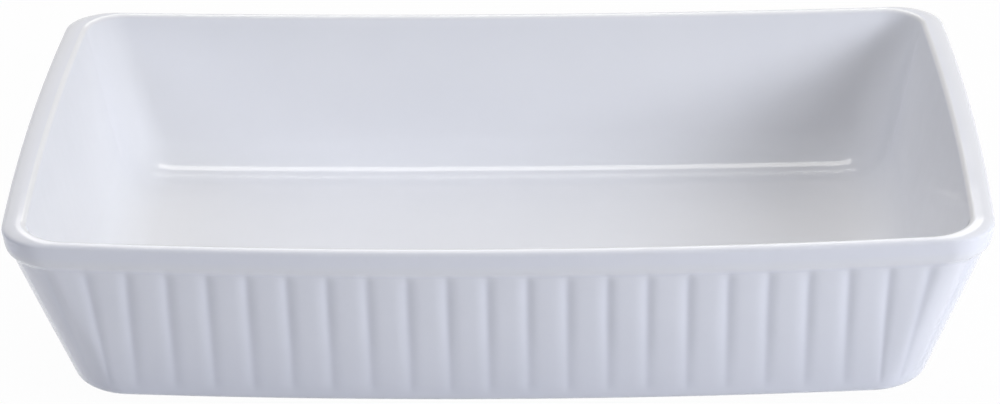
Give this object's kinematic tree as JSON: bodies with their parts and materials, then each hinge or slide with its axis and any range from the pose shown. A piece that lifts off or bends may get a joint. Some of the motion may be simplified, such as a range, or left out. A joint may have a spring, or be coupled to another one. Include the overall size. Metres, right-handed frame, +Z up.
{
  "type": "rectangular baking dish",
  "caption": "Rectangular white glazed stoneware baking dish with flared walls, upright ribs on the outside, a plain band under a rounded rim and a bare foot ring.",
  "frame": {"origin": "on the surface that the foot ring stands on, below the middle of the dish", "axes": "+X along the length of the dish, +Y across it towards the back long side, +Z up"},
  "size_m": [0.3296, 0.1982, 0.0685],
  "materials": {
    "bare_stoneware": "matte fired clay, ground flat on the foot",
    "inside_glaze": "glossy cool white glaze",
    "outside_glaze": "glossy cool white glaze, thin on the edges of the ribs",
    "underside_glaze": "glossy cool white glaze"
  },
  "bodies": {
    "root": {"stoneware_body": "bare_stoneware", "glaze_inside": "inside_glaze", "glaze_outside": "outside_glaze", "glaze_underside": "underside_glaze"}
  },
  "joints": []
}
